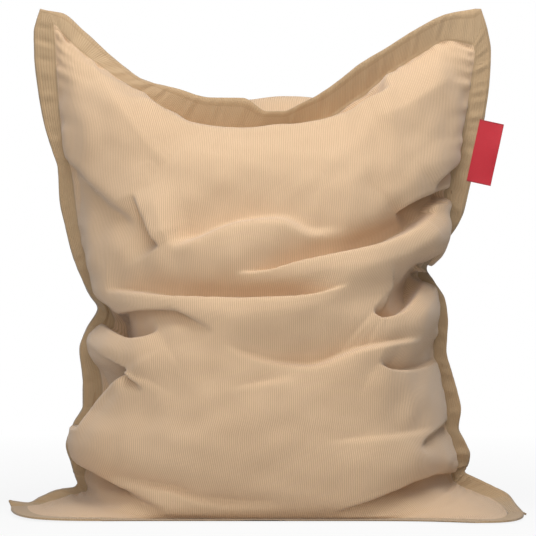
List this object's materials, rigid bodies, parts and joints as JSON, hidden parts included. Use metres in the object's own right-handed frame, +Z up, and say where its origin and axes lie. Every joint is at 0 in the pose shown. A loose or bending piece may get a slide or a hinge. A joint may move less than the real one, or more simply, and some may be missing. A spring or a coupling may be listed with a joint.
{
  "type": "bean bag chair",
  "caption": "Upright pillow-shaped bean bag chair: zipped corduroy cover with flat sewn flanges and a bare edge label, over a zipped lining full of beads",
  "frame": {"origin": "on the floor, under the middle of the bag's box: in the plane where the two panels are sewn together", "axes": "+X to the right as seen from the front, -Y towards the front, +Z up; the panels' seam lies in the XZ plane"},
  "size_m": [1.098, 0.6188, 1.0992],
  "materials": {
    "corduroy": "ribbed corduroy, tan, low sheen",
    "lining": "plain woven off-white lining",
    "beads": "expanded foam beads, white",
    "label_ribbon": "plain red woven ribbon, nothing on it",
    "zip_tape": "woven tape, tan",
    "zip_teeth": "moulded, brown",
    "liner_tape": "woven tape, off-white",
    "liner_teeth": "moulded, off-white",
    "zip_metal": "bronzed die-cast metal"
  },
  "bodies": {
    "bag": {"cover_front_panel": "corduroy", "cover_back_panel": "corduroy", "cover_zip_tape_upper": "zip_tape", "cover_zip_tape_lower": "zip_tape", "cover_zip_teeth_upper": "zip_teeth", "cover_zip_teeth_lower": "zip_teeth", "cover_zip_end_stop": "zip_teeth", "cover_zip_top_stops": "zip_teeth", "liner_front_panel": "lining", "liner_back_panel": "lining", "liner_zip_tape_upper": "liner_tape", "liner_zip_tape_lower": "liner_tape", "liner_zip_teeth_upper": "liner_teeth", "liner_zip_teeth_lower": "liner_teeth", "liner_zip_end_stop": "liner_teeth", "liner_zip_top_stops": "liner_teeth", "bead_fill": "beads"},
    "label": {"label_tag": "label_ribbon"},
    "slider": {"cover_zip_slider": "zip_metal"},
    "puller": {"cover_zip_puller": "zip_metal"},
    "liner_slider": {"liner_zip_slider": "zip_metal"}
  },
  "joints": [
    {"name": "cover_zip_slide", "type": "slide", "parent": "bag", "child": "slider", "axis": [-1, 0, 0], "range_m": [0, 0.431], "deforming": ["cover_zip_teeth_upper", "cover_zip_teeth_lower"]},
    {"name": "puller_swing", "type": "hinge", "parent": "slider", "child": "puller", "pos_m": [0.2197, 0.3072, 0.196], "axis": [0, 0, 1], "range_deg": [0, 175]},
    {"name": "label_flip", "type": "hinge", "parent": "bag", "child": "label", "pos_m": [0.45462, 0, 0.79776], "axis": [0.2113, 0, 0.9774], "range_deg": [-75, 75]},
    {"name": "liner_zip_slide", "type": "slide", "parent": "bag", "child": "liner_slider", "axis": [-1, 0, 0], "range_m": [0, 0.271], "deforming": ["liner_zip_teeth_upper", "liner_zip_teeth_lower"]}
  ]
}
